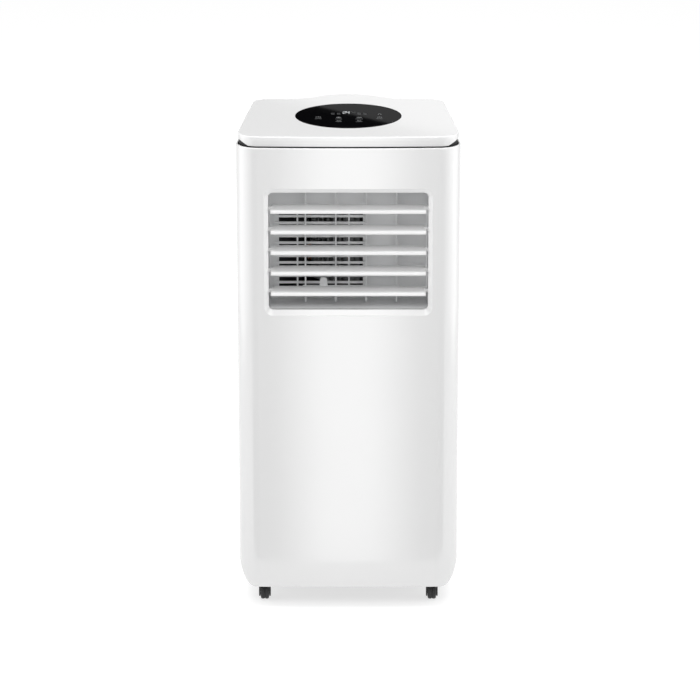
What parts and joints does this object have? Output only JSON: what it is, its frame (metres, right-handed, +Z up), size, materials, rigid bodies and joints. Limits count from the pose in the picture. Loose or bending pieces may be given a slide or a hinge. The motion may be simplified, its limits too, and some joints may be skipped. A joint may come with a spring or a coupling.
{
  "type": "portable air conditioner",
  "caption": "Portable air conditioner on casters: white casing, tilting slats in the front air outlet, round black touch panel on top, hose port at the back.",
  "frame": {"origin": "on the floor under the middle of the bounding box", "axes": "+Z up, the front with the air outlet faces -Y, +X to the right seen from the front"},
  "size_m": [0.3192, 0.2744, 0.708],
  "materials": {
    "casing": "satin white moulding",
    "cover": "satin white moulding",
    "collar": "black moulding",
    "touch_glass": "black glass",
    "grey_plastic": "light grey moulding",
    "slats": "light grey moulding",
    "dark_plastic": "dark grey moulding",
    "caster_plastic": "black moulding",
    "caster_rubber": "black tread",
    "fins": "thin plate",
    "copper": "drawn copper pipe",
    "compressor_paint": "black paint",
    "motor_steel": "plain steel",
    "foam_tray": "white moulding",
    "board": "green board",
    "filter_mesh": "dark mesh",
    "float_foam": "pale foam"
  },
  "bodies": {
    "unit": {"accumulator": "compressor_paint", "base_pan": "dark_plastic", "blower_motor": "motor_steel", "blower_scroll": "dark_plastic", "capacitor": "fins", "compressor": "compressor_paint", "condenser": "fins", "control_board": "board", "discharge_pipe": "copper", "drain_tray": "foam_tray", "electrics_box": "dark_plastic", "electrics_lid": "dark_plastic", "evaporator": "fins", "exhaust_motor": "motor_steel", "exhaust_plenum": "dark_plastic", "exhaust_port": "casing", "exhaust_scroll": "dark_plastic", "front_panel": "casing", "hand_grip_left": "casing", "hand_grip_right": "casing", "liquid_pipe": "copper", "main_board": "board", "mains_gland": "dark_plastic", "outlet_duct": "grey_plastic", "outlet_guard": "grey_plastic", "rear_shell": "casing", "suction_pipe": "copper", "swing_motor": "motor_steel", "top_collar": "collar", "top_cover": "cover", "touch_panel": "touch_glass"},
    "caster_front_left": {"caster_fork_front_left": "caster_plastic"},
    "wheel_front_left": {"caster_wheel_front_left": "caster_rubber"},
    "caster_front_right": {"caster_fork_front_right": "caster_plastic"},
    "wheel_front_right": {"caster_wheel_front_right": "caster_rubber"},
    "caster_rear_left": {"caster_fork_rear_left": "caster_plastic"},
    "wheel_rear_left": {"caster_wheel_rear_left": "caster_rubber"},
    "caster_rear_right": {"caster_fork_rear_right": "caster_plastic"},
    "wheel_rear_right": {"caster_wheel_rear_right": "caster_rubber"},
    "slat_1": {"slat_1": "slats"},
    "slat_2": {"slat_2": "slats"},
    "slat_3": {"slat_3": "slats"},
    "slat_4": {"slat_4": "slats"},
    "slat_5": {"slat_5": "slats"},
    "slat_link": {"slat_link": "grey_plastic"},
    "vane_1": {"vane_1": "grey_plastic"},
    "vane_2": {"vane_2": "grey_plastic"},
    "vane_3": {"vane_3": "grey_plastic"},
    "vane_4": {"vane_4": "grey_plastic"},
    "vane_link": {"vane_link": "grey_plastic"},
    "blower": {"blower_drum": "dark_plastic"},
    "hot_fan": {"exhaust_fan": "dark_plastic"},
    "upper_intake": {"upper_grille": "casing", "upper_filter": "filter_mesh"},
    "lower_intake": {"lower_grille": "casing", "lower_filter": "filter_mesh"},
    "drain_cap": {"drain_cap": "dark_plastic"},
    "float": {"water_float": "float_foam"}
  },
  "joints": [
    {"name": "swivel_front_left", "type": "hinge", "parent": "unit", "child": "caster_front_left", "pos_m": [-0.123, -0.1072, 0.0325], "axis": [0, 0, 1], "continuous": true},
    {"name": "roll_front_left", "type": "hinge", "parent": "caster_front_left", "child": "wheel_front_left", "pos_m": [-0.123, -0.0992, 0.013], "axis": [1, 0, 0], "continuous": true},
    {"name": "swivel_front_right", "type": "hinge", "parent": "unit", "child": "caster_front_right", "pos_m": [0.123, -0.1072, 0.0325], "axis": [0, 0, 1], "continuous": true},
    {"name": "roll_front_right", "type": "hinge", "parent": "caster_front_right", "child": "wheel_front_right", "pos_m": [0.123, -0.0992, 0.013], "axis": [1, 0, 0], "continuous": true},
    {"name": "swivel_rear_left", "type": "hinge", "parent": "unit", "child": "caster_rear_left", "pos_m": [-0.108, 0.0702, 0.0325], "axis": [0, 0, 1], "continuous": true},
    {"name": "roll_rear_left", "type": "hinge", "parent": "caster_rear_left", "child": "wheel_rear_left", "pos_m": [-0.108, 0.0782, 0.013], "axis": [1, 0, 0], "continuous": true},
    {"name": "swivel_rear_right", "type": "hinge", "parent": "unit", "child": "caster_rear_right", "pos_m": [0.108, 0.0702, 0.0325], "axis": [0, 0, 1], "continuous": true},
    {"name": "roll_rear_right", "type": "hinge", "parent": "caster_rear_right", "child": "wheel_rear_right", "pos_m": [0.108, 0.0782, 0.013], "axis": [1, 0, 0], "continuous": true},
    {"name": "slat_1_tilt", "type": "hinge", "parent": "unit", "child": "slat_1", "pos_m": [0, -0.1162, 0.5992], "axis": [1, 0, 0], "range_deg": [-35, 60]},
    {"name": "slat_2_tilt", "type": "hinge", "parent": "unit", "child": "slat_2", "pos_m": [0, -0.1162, 0.5688], "axis": [1, 0, 0], "range_deg": [-35, 60]},
    {"name": "slat_3_tilt", "type": "hinge", "parent": "unit", "child": "slat_3", "pos_m": [0, -0.1162, 0.5384], "axis": [1, 0, 0], "range_deg": [-35, 60]},
    {"name": "slat_4_tilt", "type": "hinge", "parent": "unit", "child": "slat_4", "pos_m": [0, -0.1162, 0.508], "axis": [1, 0, 0], "range_deg": [-35, 60]},
    {"name": "slat_5_tilt", "type": "hinge", "parent": "unit", "child": "slat_5", "pos_m": [0, -0.1162, 0.4776], "axis": [1, 0, 0], "range_deg": [-35, 60]},
    {"name": "slat_link_turn", "type": "hinge", "parent": "slat_3", "child": "slat_link", "pos_m": [0.1122, -0.10126, 0.53971], "axis": [1, 0, 0], "range_deg": [-62, 35]},
    {"name": "vane_1_turn", "type": "hinge", "parent": "unit", "child": "vane_1", "pos_m": [-0.0616, -0.0842, 0.5395], "axis": [0, 0, 1], "range_deg": [-35, 35]},
    {"name": "vane_2_turn", "type": "hinge", "parent": "unit", "child": "vane_2", "pos_m": [-0.018, -0.0842, 0.5395], "axis": [0, 0, 1], "range_deg": [-35, 35]},
    {"name": "vane_3_turn", "type": "hinge", "parent": "unit", "child": "vane_3", "pos_m": [0.0256, -0.0842, 0.5395], "axis": [0, 0, 1], "range_deg": [-35, 35]},
    {"name": "vane_4_turn", "type": "hinge", "parent": "unit", "child": "vane_4", "pos_m": [0.0692, -0.0842, 0.5395], "axis": [0, 0, 1], "range_deg": [-35, 35]},
    {"name": "vane_link_turn", "type": "hinge", "parent": "vane_2", "child": "vane_link", "pos_m": [-0.018, -0.0922, 0.477], "axis": [0, 0, 1], "range_deg": [-36, 36]},
    {"name": "blower_spin", "type": "hinge", "parent": "unit", "child": "blower", "pos_m": [-0.005, 0, 0.525], "axis": [0, 0, 1], "continuous": true},
    {"name": "hot_fan_spin", "type": "hinge", "parent": "unit", "child": "hot_fan", "pos_m": [-0.062, 0.0292, 0.16], "axis": [0, 1, 0], "continuous": true},
    {"name": "upper_grille_pull", "type": "slide", "parent": "unit", "child": "upper_intake", "axis": [0, 1, 0], "range_m": [0, 0.08]},
    {"name": "lower_grille_pull", "type": "slide", "parent": "unit", "child": "lower_intake", "axis": [0, 1, 0], "range_m": [0, 0.08]},
    {"name": "drain_cap_pull", "type": "slide", "parent": "unit", "child": "drain_cap", "axis": [0, 1, 0], "range_m": [0, 0.03]},
    {"name": "float_rise", "type": "slide", "parent": "unit", "child": "float", "axis": [0, 0, 1], "range_m": [0, 0.012]}
  ],
  "couplings": [
    {"joint": "slat_2_tilt", "follows": "slat_1_tilt", "ratio": 1},
    {"joint": "slat_3_tilt", "follows": "slat_1_tilt", "ratio": 1},
    {"joint": "slat_4_tilt", "follows": "slat_1_tilt", "ratio": 1},
    {"joint": "slat_5_tilt", "follows": "slat_1_tilt", "ratio": 1},
    {"joint": "slat_link_turn", "follows": "slat_1_tilt", "ratio": -1},
    {"joint": "vane_2_turn", "follows": "vane_1_turn", "ratio": 1},
    {"joint": "vane_3_turn", "follows": "vane_1_turn", "ratio": 1},
    {"joint": "vane_4_turn", "follows": "vane_1_turn", "ratio": 1},
    {"joint": "vane_link_turn", "follows": "vane_1_turn", "ratio": -1}
  ]
}
